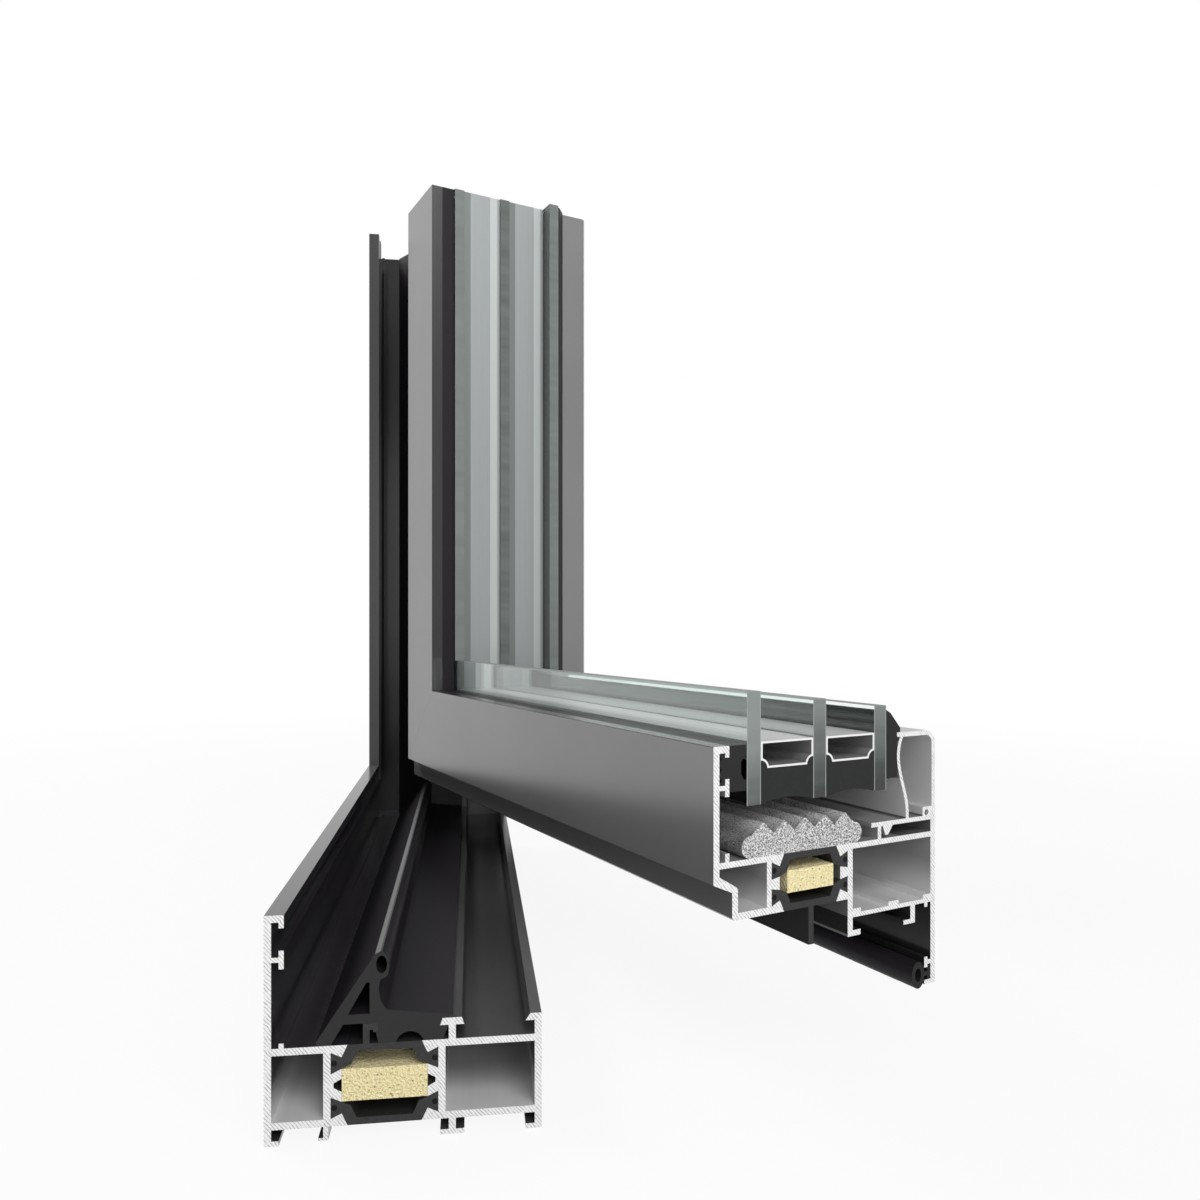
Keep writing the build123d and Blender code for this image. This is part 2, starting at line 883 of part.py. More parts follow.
with BuildPart() as sash_leaf:
    sash_leaf_front = hinge_x + barrel_radius + leaf
    with BuildSketch(opened(level)):
        bar(sash_leaf_front, sash_leaf_front + sash_leaf_width, sash_depth, sash_depth + leaf)
    extrude(amount=hinge_height)
    with BuildSketch(opened(level.offset(knuckle + knuckle_gap))):
        bar(hinge_x, sash_leaf_front + leaf, sash_depth, sash_depth + leaf)
        with Locations((hinge_x, hinge_y)):
            Circle(barrel_radius)
            Circle(pin_radius + fit, mode=Mode.SUBTRACT)
    extrude(amount=knuckle - 2 * knuckle_gap)
save(sash_leaf, "hinge_sash_leaf")

with BuildPart() as pin:
    with BuildSketch(level):
        with Locations((hinge_x, hinge_y)):
            Circle(pin_radius)
    extrude(amount=hinge_height + pin_head)
    with BuildSketch(level.offset(hinge_height + fit)):
        with Locations((hinge_x, hinge_y)):
            Circle(barrel_radius)
    extrude(amount=pin_head)
    fillet(pin.edges().sort_by(Axis.Z)[-1], pin_head / 2)
save(pin, "hinge_pin")
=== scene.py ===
"""Looks of the cut-open corner sample of an aluminium window.

The frame corner is coated black, with its inner profile painted a shade lighter as painted light,
and the open sash is grey. The cuts show bare aluminium, dark insulating strips and gaskets,
yellow foam between the strips and grey foam under the glass.

Lengths are in metres. Finishes are placed on the section that all lengths share: depth runs from
outside to inside, and height from the sill's underside or from the back of the jamb. The sash
keeps the section of its shut place, turned open with it.
"""

import math
from collections import namedtuple

import bmesh
import bpy
from mathutils import Matrix, Vector


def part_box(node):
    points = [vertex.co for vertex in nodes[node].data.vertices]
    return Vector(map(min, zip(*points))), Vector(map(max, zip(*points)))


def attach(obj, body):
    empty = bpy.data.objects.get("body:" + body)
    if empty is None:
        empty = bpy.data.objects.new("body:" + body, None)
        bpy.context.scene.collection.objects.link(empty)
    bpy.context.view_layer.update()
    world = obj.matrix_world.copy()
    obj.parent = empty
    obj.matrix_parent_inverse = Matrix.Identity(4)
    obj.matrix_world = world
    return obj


MM = 0.001

# Camera, its heading in degrees from +X, its lens and sensor in millimetres
CAMERA_PLACE = Vector((440.2, 5.2, 145.9)) * MM
CAMERA_HEADING = 172.2
CAMERA_LENS = 28.3
CAMERA_SENSOR = 36
CAMERA_RISE = 0.0167
CAMERA_NEAR_LIMIT = 10 * MM

# Studio
ROOM_LIGHT = 0.3
FLOOR_SIZE = 60
FLOOR_TONE = 0.7
FLOOR_FADE_START, FLOOR_FADE_END = 0.25, 1.2
FLOOR_GLOW_NEAR, FLOOR_GLOW_FAR = 0.91, 1.0
SAMPLE_MIDDLE = (0.1, 0.0, 0.08)
FRAME_CORNER_MIDDLE = (-0.08, -0.05, 0.14)

# Sample
FRAME_LENGTHS = ("sill", "jamb")
SASH_LENGTHS = ("rail", "stile")
SASH_OPENING = 21.2
SILL_LENGTH = 338.0 * MM
RAIL_LENGTH = 347.0 * MM
SASH_OVERLAP = 10.0 * MM
CUT_SKIN = 0.03 * MM
MITRE_LINE = 0.07 * MM
HATCH_PITCH = 1.05 * MM
HATCH_SLOPE = 0.85
HATCH_WOBBLE = 1.1 * HATCH_PITCH
GLUE_CORD = 0.85 * MM

# Chambers, where the metal is bare and carries painted shade, as front, back, low and high in
# millimetres of the section
FRAME_OUTER_CHAMBER = (1, 17, 5.5, 26)
FRAME_INNER_CHAMBER = (48.7, 76, 5.5, 26)
SASH_OUTER_CHAMBER = (1, 19.5, 72.8, 77.5)
SASH_STEP_CHAMBER = (7.4, 19.5, 62.7, 77.5)
SASH_INNER_CHAMBER = (50.6, 86, 56.5, 77.5)
BEAD_CHAMBER = (71.5, 86.2, 84, 110)
# Share of a chamber's height over which its painted shade darkens from the pale floor
PAINTED_SHADE_SHARE = 0.6

# Patches of the coat, in the same order: painted highlights, painted shade and painted light
# Painted highlights along the top edges of the frame's leg and upstand
FRAME_LEG_TOP_HIGHLIGHT = (-0.1, 5.5, 63.9, 64.1)
FRAME_UPSTAND_TOP_HIGHLIGHT = (72, 77.1, 32.9, 33.1)
# Painted shade on the jamb's rebate face
JAMB_REBATE_PAINTED_SHADE = (1.9, 24, 26.5, 31)
# Painted shade on the return of the sash lip
SASH_LIP_PAINTED_SHADE = (-0.1, 5.5, 110.6, 111)
# Painted light in the glazing rebate under the panes
GLAZING_REBATE_PAINTED_LIGHT = (1.75, 71.5, 78, 108)
# Painted shade on the underside of the sash
SASH_UNDERSIDE_PAINTED_SHADE = (40, 86, 20, 56.4)
# Painted highlight along the lower edge of the sash's hardware leg
SASH_LEG_EDGE_HIGHLIGHT = (49.5, 50.1, 50.2, 51.0)
# Painted highlight along the centre gasket's crest, fading in away from the corner
GASKET_CREST_HIGHLIGHT = (30.1, 31.6, 52.0, 53.1)
GASKET_GLINT_START, GASKET_GLINT_FULL = 70 * MM, 140 * MM

# Glue cords of the strips in millimetres: the middle between them, and how far each is from it
FRAME_CORDS_MIDDLE, FRAME_CORDS_REACH = (32.85, 15.75), (13.9, 6.2)
SASH_CORDS_MIDDLE, SASH_CORDS_REACH = (35.0, 70.05), (13.6, 3.8)

# Grey foam, with painted shade in its wave troughs
FOAM_TROUGH = 6.4 * MM
FOAM_WAVE = 2.8 * MM

# Glazing, the spacer's painted reflection and painted highlight stripes in millimetres from its
# outer side
GLASS_FRONT = 11.5 * MM
PANE = 5.0 * MM
PANE_PITCH = 24.5 * MM
# Height over which the panes' ground edges grow paler as painted light, and depth over which they
# darken inward as painted shade
PANE_STRIP = 30 * MM
PANE_PAINTED_SHADE_START, PANE_PAINTED_SHADE_END = 14 * MM, 38 * MM
ARRIS = 0.28 * MM
SPACER_HEIGHT = 7.7 * MM
SPACER_WALL = 0.3
SPACER_HOLLOW_BACK = 19.2
SPACER_PAINTED_REFLECTION_STRIPE = (0, 3.6)
SPACER_PAINTED_HIGHLIGHT_STRIPE = (14.2, 18.0)

# Hinge screws, their places as height on the leaf and distance along the sash in millimetres
SCREW_RADIUS = 3.2 * MM
SCREW_HEIGHT = 0.8 * MM
LEAF_THICKNESS = 3.0 * MM
LEAF_MARGIN = 6 * MM
SCREW_PLACES = ((10, 40), (40, 51), (70, 40))

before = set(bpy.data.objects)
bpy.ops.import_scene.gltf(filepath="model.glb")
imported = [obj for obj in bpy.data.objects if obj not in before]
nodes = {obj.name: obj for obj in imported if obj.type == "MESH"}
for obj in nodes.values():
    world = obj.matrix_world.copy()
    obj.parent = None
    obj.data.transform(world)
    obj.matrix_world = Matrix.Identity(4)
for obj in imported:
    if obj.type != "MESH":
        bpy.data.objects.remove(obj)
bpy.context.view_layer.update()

sill_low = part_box("sill_profile_outer")[0]
jamb_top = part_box("jamb_profile_outer")[1].z
stile_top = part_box("stile_profile_outer")[1].z
pin_low, pin_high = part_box("hinge_pin")
hinge_axis = Vector(((pin_low.x + pin_high.x) / 2, (pin_low.y + pin_high.y) / 2, 0))
frame_corner = Vector(sill_low)
swing = Matrix.Rotation(math.radians(SASH_OPENING), 3, "Z")
sash_corner = hinge_axis + swing @ (Vector((sill_low.x, sill_low.y, 0)) - hinge_axis)


def wire(tree, source, socket):
    """Links an output to a socket, or writes a plain value on it."""
    if isinstance(source, bpy.types.NodeSocket):
        tree.links.new(source, socket)
    else:
        socket.default_value = source


def calculate(tree, operation, *inputs):
    """A Math node's result."""
    node = tree.nodes.new("ShaderNodeMath")
    node.operation = operation
    for socket, value in zip(node.inputs, inputs):
        wire(tree, value, socket)
    return node.outputs[0]


def ease(tree, share, low, high):
    """A number between two. A Mix node's sockets share their names, so they go by number."""
    node = tree.nodes.new("ShaderNodeMix")
    wire(tree, share, node.inputs[0])
    wire(tree, low, node.inputs[2])
    wire(tree, high, node.inputs[3])
    return node.outputs[0]


def stretch(tree, value, low, high, start=0.0, end=1.0, shape="LINEAR"):
    """A value stretched from one range to another and kept within it."""
    node = tree.nodes.new("ShaderNodeMapRange")
    node.interpolation_type = shape
    for socket, number in zip(list(node.inputs)[1:5], (low, high, start, end)):
        socket.default_value = number
    wire(tree, value, node.inputs[0])
    return node.outputs[0]


def between(tree, value, low, high):
    """1 where a value lies between two limits given in millimetres, and 0 elsewhere."""
    above = calculate(tree, "GREATER_THAN", value, low * MM)
    below = calculate(tree, "LESS_THAN", value, high * MM)
    return calculate(tree, "MULTIPLY", above, below)


def grey(level):
    """A neutral colour as it shows on screen, from 0 to 255."""
    return colour(level, level, level)


def colour(red, green, blue):
    """A colour as it shows on screen, from 0 to 255, for a shader."""
    parts = []
    for level in (red, green, blue):
        share = level / 255
        parts.append(share / 12.92 if share <= 0.04045 else ((share + 0.055) / 1.055) ** 2.4)
    return (*parts, 1)


class Finish:
    """A material that is being built, with its shader and the place on the sample."""

    def __init__(self, name, on_sash=False):
        self.material = bpy.data.materials.new(name)
        self.material.use_nodes = True
        self.tree = self.material.node_tree
        self.shader = self.tree.nodes["Principled BSDF"]
        place = self.tree.nodes.new("ShaderNodeTexCoord").outputs["Object"]
        section = self.tree.nodes.new("ShaderNodeMapping")
        section.vector_type = "TEXTURE"
        section.inputs["Location"].default_value = sash_corner if on_sash else frame_corner
        section.inputs["Rotation"].default_value[2] = math.radians(SASH_OPENING) if on_sash else 0
        self.tree.links.new(place, section.inputs["Vector"])
        self.section = section.outputs[0]
        split = self.tree.nodes.new("ShaderNodeSeparateXYZ")
        self.tree.links.new(self.section, split.inputs[0])
        self.along, self.depth, self.up = split.outputs
        self.height = calculate(self.tree, "MINIMUM", self.along, self.up)
        self.length = RAIL_LENGTH if on_sash else SILL_LENGTH
        self.top = stile_top if on_sash else jamb_top

    def set(self, **values):
        """Writes values or links on the shader's sockets, underscores standing for spaces."""
        for name, value in values.items():
            wire(self.tree, value, self.shader.inputs[name.replace("_", " ")])

    def cut(self):
        """1 on the two ends where the sample was sawn off."""
        side = calculate(self.tree, "GREATER_THAN", self.along, self.length - CUT_SKIN)
        top = calculate(self.tree, "GREATER_THAN", self.up, self.top - CUT_SKIN)
        return calculate(self.tree, "MAXIMUM", side, top)

    def mitre(self):
        """1 along the hairline where the level and the upright length meet."""
        past = calculate(self.tree, "SUBTRACT", self.along, self.up)
        return calculate(self.tree, "LESS_THAN", calculate(self.tree, "ABSOLUTE", past), MITRE_LINE)

    def room(self, front, back, low, high):
        """1 within a box of the section, given in millimetres of depth and height."""
        across = between(self.tree, self.depth, front, back)
        upward = between(self.tree, self.height, low, high)
        return calculate(self.tree, "MULTIPLY", across, upward)

    def either(self, *masks):
        """1 where any of the masks is."""
        found = masks[0]
        for mask in masks[1:]:
            found = calculate(self.tree, "MAXIMUM", found, mask)
        return found

    def noise(self, size, detail=2.0, stretched=(1, 1, 1)):
        """Cloudy noise whose grain is of that size in metres."""
        mapping = self.tree.nodes.new("ShaderNodeMapping")
        mapping.inputs["Scale"].default_value = stretched
        self.tree.links.new(self.section, mapping.inputs["Vector"])
        node = self.tree.nodes.new("ShaderNodeTexNoise")
        node.inputs["Scale"].default_value = 1 / size
        node.inputs["Detail"].default_value = detail
        self.tree.links.new(mapping.outputs[0], node.inputs["Vector"])
        return node.outputs["Fac"]

    def pores(self, size):
        """Distance from the middle of cells of that size."""
        node = self.tree.nodes.new("ShaderNodeTexVoronoi")
        node.inputs["Scale"].default_value = 1 / size
        self.tree.links.new(self.section, node.inputs["Vector"])
        return node.outputs["Distance"]

    def spread(self, value, low, high, start=0.0, end=1.0):
        """A value stretched from one range to another and kept within it."""
        return stretch(self.tree, value, low, high, start, end)

    def mix(self, share, low, high):
        """A colour between two. A Mix node's sockets share their names, so they go by number."""
        node = self.tree.nodes.new("ShaderNodeMix")
        node.data_type = "RGBA"
        wire(self.tree, share, node.inputs[0])
        wire(self.tree, low, node.inputs[6])
        wire(self.tree, high, node.inputs[7])
        return node.outputs[2]

    def relief(self, height, depth):
        """A bump from a 0 to 1 height, its depth in metres."""
        node = self.tree.nodes.new("ShaderNodeBump")
        node.inputs["Strength"].default_value = 1
        node.inputs["Distance"].default_value = depth
        wire(self.tree, height, node.inputs["Height"])
        self.tree.links.new(node.outputs[0], self.shader.inputs["Normal"])
        return self

    def hatch(self):
        """The fine slanted saw marks across a cut, from 0 to 1."""
        slope = calculate(self.tree, "MULTIPLY", self.height, HATCH_SLOPE)
        side = calculate(self.tree, "ADD", self.depth, slope)
        wobble = calculate(self.tree, "MULTIPLY", self.noise(2.2 * MM), HATCH_WOBBLE)
        side = calculate(self.tree, "ADD", side, wobble)
        turn = calculate(self.tree, "MULTIPLY", side, 2 * math.pi / HATCH_PITCH)
        line = self.spread(calculate(self.tree, "SINE", turn), 0.1, 0.95)
        worn = self.spread(self.noise(1.4 * MM, 3), 0.36, 0.6, 0.3, 1)
        return calculate(self.tree, "MULTIPLY", line, worn)


def sawn_aluminium(finish):
    """Colour of bare aluminium where it was sawn, with its saw marks."""
    line = finish.mix(finish.noise(2.5 * MM), grey(138), grey(168))
    face = finish.mix(finish.noise(0.7 * MM, 3), grey(212), grey(230))
    return finish.mix(finish.hatch(), face, line)


def chamber_painted_shade(finish, chambers):
    """Painted shade in the bare chambers: 0 on a chamber's floor, rising to 1 some way up its
    height, with faint streaks.
    """
    tree = finish.tree
    painted_shade = 0
    for chamber in chambers:
        _, _, low, high = chamber
        rise = finish.spread(finish.height, low * MM, (low + PAINTED_SHADE_SHARE * (high - low)) * MM)
        painted_shade = ease(tree, finish.room(*chamber), painted_shade, rise)
    streak = calculate(tree, "MULTIPLY", finish.noise(8 * MM, 2, (0.05, 1, 1)), 0.3)
    return calculate(tree, "SUBTRACT", calculate(tree, "ADD", painted_shade, streak), 0.15)


def patched_coat(finish, coat, patches):
    """Colour of a profile's coat, with its patches of painted light and shade and the hairline of
    the mitre.
    """
    tree = finish.tree
    broad = finish.spread(finish.noise(60 * MM), 0.3, 0.7)
    coat_colour = finish.mix(broad, coat.dark, coat.light)
    for patch in patches:
        where = finish.room(*patch.room)
        for only, distance in ((patch.level_only, finish.along), (patch.upright_only, finish.up)):
            if only:
                past_corner = calculate(tree, "GREATER_THAN", distance, patch.room[3] * MM)
                where = calculate(tree, "MULTIPLY", where, past_corner)
        coat_colour = finish.mix(where, coat_colour, patch.shade)
    return finish.mix(finish.mitre(), coat_colour, grey(16))


def coated_profile(name, coat, chambers, patches=(), on_sash=False):
    """A coated aluminium profile: bare inside its chambers, with painted shade there, and hatched
    where it is cut.
    """
    finish = Finish(name, on_sash)
    tree = finish.tree
    cut = finish.cut()
    bare = finish.either(*[finish.room(*chamber) for chamber in chambers])
    fine = finish.noise(0.35 * MM, 3)
    # Painted shade: the bare metal is pale on a chamber's floor and darker towards its ceiling
    bare_colour = finish.mix(chamber_painted_shade(finish, chambers), coat.floor, coat.ceiling)
    skin = finish.mix(bare, patched_coat(finish, coat, patches), bare_colour)
    smooth, rough = coat.gloss
    metal = ease(tree, bare, coat.metal, 0.25)
    finish.set(
        Base_Color=finish.mix(cut, skin, sawn_aluminium(finish)),
        Roughness=ease(tree, cut, finish.spread(fine, 0.2, 0.8, smooth, rough), 0.6),
        Metallic=calculate(tree, "MULTIPLY", metal, calculate(tree, "SUBTRACT", 1, cut)),
        Specular_IOR_Level=coat.shine,
    )
    return finish.relief(fine, coat.grain).material


# floor and ceiling are the bare chamber metal's colours at either end of its painted shade
Coat = namedtuple("Coat", "dark light metal shine gloss grain floor ceiling")
Patch = namedtuple("Patch", "room shade level_only upright_only", defaults=[False, False])

BLACK_COAT = Coat(
    dark=colour(45, 42, 46),
    light=colour(50, 47, 51),
    metal=0.0,
    shine=0.25,
    gloss=(0.15, 0.22),
    grain=0.006 * MM,
    # Bare chamber metal with painted shade: pale on the floor, dark at the ceiling
    floor=grey(236),
    ceiling=grey(56),
)
# The frame's inner profile: the black coat painted a shade lighter, as painted light on its top-lit
# faces
PAINTED_LIGHT_BLACK_COAT = BLACK_COAT._replace(
    dark=grey(56), light=grey(64), shine=0.35, gloss=(0.2, 0.28)
)
GREY_COAT = Coat(
    dark=grey(124),
    light=grey(130),
    metal=0.45,
    shine=0.5,
    gloss=(0.19, 0.26),
    grain=0.005 * MM,
    # Bare chamber metal with painted shade: pale on the floor, darker at the ceiling
    floor=grey(226),
    ceiling=grey(156),
)
# The bead's chamber has only a faint painted shade
BEAD_COAT = GREY_COAT._replace(floor=grey(214), ceiling=grey(206))


def dark_profile(name, coat, chamber, edge, patches=()):
    """A frame profile in black, or in black painted a shade lighter as painted light, with a
    painted highlight along its top edge, brightest on the sill.
    """
    # Painted highlight: the top edge is paler, more so on the sill
    edge_highlights = [Patch(edge, grey(66)), Patch(edge, grey(88), level_only=True)]
    return coated_profile(name, coat, [chamber], [*edge_highlights, *patches])


def grey_profile(name, chambers, patches, coat=GREY_COAT):
    """A sash profile with its grey coat."""
    return coated_profile(name, coat, chambers, patches, True)


def insulating_strip(name, middle, reach, on_sash=False):
    """Glass-fibre filled polyamide, dull and nearly black, with round glue cords in its feet."""
    finish = Finish(name, on_sash)
    tree = finish.tree
    fibre = finish.noise(0.8 * MM, 4)
    offsets = []
    for place, centre, distance in zip((finish.depth, finish.height), middle, reach):
        apart = calculate(tree, "ABSOLUTE", calculate(tree, "SUBTRACT", place, centre * MM))
        away = calculate(tree, "SUBTRACT", apart, distance * MM)
        offsets.append(calculate(tree, "MULTIPLY", away, away))
    cord = calculate(tree, "LESS_THAN", calculate(tree, "ADD", *offsets), GLUE_CORD**2)
    body = finish.mix(finish.spread(fibre, 0.35, 0.7), grey(46), grey(54))
    body = finish.mix(cord, body, grey(5))
    finish.set(
        Base_Color=finish.mix(finish.cut(), grey(36), body),
        Roughness=finish.spread(fibre, 0, 1, 0.5, 0.7),
        Specular_IOR_Level=0.15,
    )
    return finish.relief(fibre, 0.05 * MM).material


def rubber(name, shine, crest=None, on_sash=False):
    """Black sealing rubber with a faint sheen, duller and a shade lighter where it is cut.

    A crest has a painted highlight, a pale glint that fades towards the corner.
    """
    finish = Finish(name, on_sash)
    tree = finish.tree
    grain = finish.noise(0.5 * MM, 3)
    cut = finish.cut()
    skin = finish.mix(grain, colour(30, 27, 31), colour(36, 33, 37))
    if crest:
        from_corner = calculate(tree, "MAXIMUM", finish.along, finish.up)
        glint = finish.spread(from_corner, GASKET_GLINT_START, GASKET_GLINT_FULL)
        glint = calculate(tree, "MULTIPLY", finish.room(*crest), glint)
        # Painted highlight on the crest
        skin = finish.mix(glint, skin, grey(104))
    finish.set(
        Base_Color=finish.mix(cut, skin, finish.mix(grain, grey(34), grey(41))),
        Roughness=ease(tree, cut, finish.spread(grain, 0, 1, 0.36, 0.48), 0.7),
        Specular_IOR_Level=shine,
    )
    return finish.relief(grain, 0.02 * MM).material


def yellow_foam():
    """Hard yellow insulating foam, its cut surface sandy with a few open pores."""
    finish = Finish("yellow_foam")
    tree = finish.tree
    pores = finish.spread(finish.pores(1.5 * MM), 0.08, 0.2, 1, 0)
    sand = finish.noise(0.65 * MM, 3)
    grain = finish.spread(sand, 0.38, 0.62)
    body = finish.mix(grain, colour(236, 219, 163), colour(255, 243, 196))
    pore_share = calculate(tree, "MULTIPLY", pores, 0.7)
    finish.set(
        Base_Color=finish.mix(pore_share, body, colour(164, 142, 86)),
        Roughness=0.9,
        Specular_IOR_Level=0.2,
    )
    surface = calculate(tree, "SUBTRACT", sand, calculate(tree, "MULTIPLY", pores, 0.3))
    return finish.relief(surface, 1.5 * MM).material


def grey_foam():
    """Soft grey foam with a finely speckled skin, painted darker between its waves as painted
    shade, speckled inside.
    """
    finish = Finish("grey_foam", True)
    speckle = finish.noise(0.48 * MM, 4)
    fine = finish.noise(0.26 * MM, 3)
    share = finish.spread(calculate(finish.tree, "ADD", speckle, fine), 0.84, 1.04)
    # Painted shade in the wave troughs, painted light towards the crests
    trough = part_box("rail_rebate_foam")[0].z + FOAM_TROUGH
    ridge_light_share = finish.spread(finish.height, trough, trough + FOAM_WAVE)
    valley_painted_shade_skin = finish.mix(share, grey(84), grey(150))
    ridge_painted_light_skin = finish.mix(share, grey(160), grey(222))
    skin = finish.mix(ridge_light_share, valley_painted_shade_skin, ridge_painted_light_skin)
    finish.set(
        Base_Color=finish.mix(finish.cut(), skin, finish.mix(share, grey(106), grey(220))),
        Roughness=0.95,
        Specular_IOR_Level=0.2,
    )
    return finish.relief(share, 0.3 * MM).material


def glass_edge_colour(finish):
    """Colour of the panes' ground edges, paler towards their top and darker inward as painted light
    and shade, with a painted highlight along each arris of the cut.
    """
    tree = finish.tree
    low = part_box("pane_inner")[0].z
    # Painted light paler towards the top, painted shade darker towards the inner panes
    rise = finish.spread(finish.height, low, low + PANE_STRIP)
    cloud = calculate(tree, "MULTIPLY", finish.noise(5 * MM, 2, (1, 0.1, 1)), 0.5)
    inward_painted_shade = finish.spread(finish.depth, PANE_PAINTED_SHADE_START, PANE_PAINTED_SHADE_END, 0, 0.35)
    painted_light_share = calculate(tree, "SUBTRACT", calculate(tree, "ADD", rise, cloud), inward_painted_shade)
    ground = finish.mix(painted_light_share, colour(54, 57, 56), colour(124, 130, 127))
    lap = calculate(tree, "SUBTRACT", finish.depth, GLASS_FRONT - 0.5 * PANE)
    lap = calculate(tree, "SUBTRACT", calculate(tree, "FLOORED_MODULO", lap, PANE_PITCH), PANE)
    # Painted highlight along each arris
    arris = calculate(tree, "GREATER_THAN", calculate(tree, "ABSOLUTE", lap), 0.5 * PANE - ARRIS)
    arris = calculate(tree, "MULTIPLY", arris, finish.cut())
    return finish.mix(arris, ground, colour(140, 146, 144))


def window_glass():
    """Clear glass, its ground edge faintly green, with painted light making it paler on the outer
    pane and towards its top.
    """
    finish = Finish("window_glass", True)
    tree = finish.tree
    finish.set(
        Base_Color=colour(244, 250, 248),
        Roughness=0.02,
        IOR=1.5,
        Transmission_Weight=1.0,
    )
    edge = tree.nodes.new("ShaderNodeBsdfPrincipled")
    wire(tree, glass_edge_colour(finish), edge.inputs["Base Color"])
    edge.inputs["Roughness"].default_value = 0.55
    edge.inputs["Specular IOR Level"].default_value = 0.25
    facing = tree.nodes.new("ShaderNodeVectorMath")
    facing.operation = "DOT_PRODUCT"
    tree.links.new(tree.nodes.new("ShaderNodeNewGeometry").outputs["True Normal"], facing.inputs[0])
    facing.inputs[1].default_value = swing @ Vector((0, 1, 0))
    across = calculate(tree, "ABSOLUTE", facing.outputs["Value"])
    ends = tree.nodes.new("ShaderNodeMixShader")
    wire(tree, calculate(tree, "LESS_THAN", across, 0.5), ends.inputs[0])
    tree.links.new(finish.shader.outputs[0], ends.inputs[1])
    tree.links.new(edge.outputs[0], ends.inputs[2])
    tree.links.new(ends.outputs[0], tree.nodes["Material Output"].inputs[0])
    return finish.material


def spacer_metal():
    """Hollow bar metal: painted shade inside, paler on the level bar as painted light, with a
    painted reflection stripe and a painted highlight stripe on the stile.
    """
    finish = Finish("spacer_metal", True)
    tree = finish.tree
    brushed = finish.noise(1.2 * MM, 2, (0.02, 1, 0.02))
    across = calculate(tree, "SUBTRACT", finish.depth, GLASS_FRONT + PANE)
    across = calculate(tree, "FLOORED_MODULO", across, PANE_PITCH)
    upright = finish.mix(brushed, colour(138, 142, 143), colour(146, 150, 151))
    # Painted reflection of the outer pane, then a painted highlight, striped along the upright
    upright = finish.mix(between(tree, across, *SPACER_PAINTED_REFLECTION_STRIPE), upright, colour(106, 112, 110))
    upright = finish.mix(between(tree, across, *SPACER_PAINTED_HIGHLIGHT_STRIPE), upright, colour(172, 177, 176))
    # Painted light: the level bar paler than the upright
    level = finish.mix(brushed, grey(180), grey(192))
    skin = finish.mix(calculate(tree, "GREATER_THAN", finish.up, finish.along), level, upright)
    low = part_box("spacer_outer")[0].z
    floor = low + SPACER_WALL * MM
    ceiling = low + SPACER_HEIGHT - SPACER_WALL * MM
    above = calculate(tree, "GREATER_THAN", finish.height, floor)
    below = calculate(tree, "LESS_THAN", finish.height, ceiling)
    middle = between(tree, across, SPACER_WALL, SPACER_HOLLOW_BACK)
    inside = calculate(tree, "MULTIPLY", calculate(tree, "MULTIPLY", above, below), middle)
    # Painted shade inside the hollow of the bar
    skin = finish.mix(inside, skin, grey(140))
    finish.set(
        Base_Color=finish.mix(finish.cut(), skin, grey(222)),
        Roughness=0.4,
        Metallic=0.3,
    )
    return finish.material


def edge_sealant():
    """Dark sealant under the spacer bars."""
    finish = Finish("edge_sealant", True)
    cloud = finish.noise(2 * MM, 3)
    finish.set(
        Base_Color=finish.mix(cloud, colour(32, 34, 34), colour(40, 42, 41)),
        Roughness=0.7,
        Specular_IOR_Level=0.15,
    )
    return finish.relief(cloud, 0.08 * MM).material


def hinge_metal():
    """The hinge's satin metal, about as grey as the sash."""
    finish = Finish("hinge_metal")
    grain = finish.noise(0.4 * MM, 3)
    finish.set(
        Base_Color=finish.mix(grain, grey(128), grey(140)),
        Roughness=finish.spread(grain, 0, 1, 0.28, 0.4),
        Metallic=0.4,
    )
    return finish.relief(grain, 0.01 * MM).material


def bright_steel():
    """Polished zinc-plated steel of the hinge's screws."""
    finish = Finish("bright_steel")
    streak = finish.noise(0.3 * MM, 3)
    finish.set(
        Base_Color=finish.mix(streak, grey(176), grey(202)),
        Roughness=finish.spread(streak, 0, 1, 0.22, 0.36),
        Metallic=0.9,
    )
    return finish.relief(streak, 0.008 * MM).material


def dress(material, *names):
    """Gives CAD nodes their material."""
    for name in names:
        mesh = nodes[name].data
        mesh.materials.clear()
        mesh.materials.append(material)


def both(side, pieces):
    """The names of pieces on the level and the upright length of the frame or the sash."""
    return [f"{length}_{piece}" for length in side for piece in pieces]


# Painted light: the shadowed glazing rebate painted paler than the coat
rebate_painted_light = Patch(GLAZING_REBATE_PAINTED_LIGHT, grey(172))
dress(
    dark_profile(
        "black_outer_profile",
        BLACK_COAT,
        FRAME_OUTER_CHAMBER,
        FRAME_LEG_TOP_HIGHLIGHT,
        # Painted shade: the jamb's rebate face darker than its coat
        [Patch(JAMB_REBATE_PAINTED_SHADE, grey(22), upright_only=True)],
    ),
    *both(FRAME_LENGTHS, ["profile_outer"]),
)
dress(
    dark_profile("painted_light_black_inner_profile", PAINTED_LIGHT_BLACK_COAT, FRAME_INNER_CHAMBER, FRAME_UPSTAND_TOP_HIGHLIGHT),
    *both(FRAME_LENGTHS, ["profile_inner"]),
)
dress(
    grey_profile(
        "grey_outer_profile",
        [SASH_OUTER_CHAMBER, SASH_STEP_CHAMBER],
        # Painted shade on the lip's return, painted light in the glazing rebate
        [Patch(SASH_LIP_PAINTED_SHADE, grey(52)), rebate_painted_light],
    ),
    *both(SASH_LENGTHS, ["profile_outer"]),
)
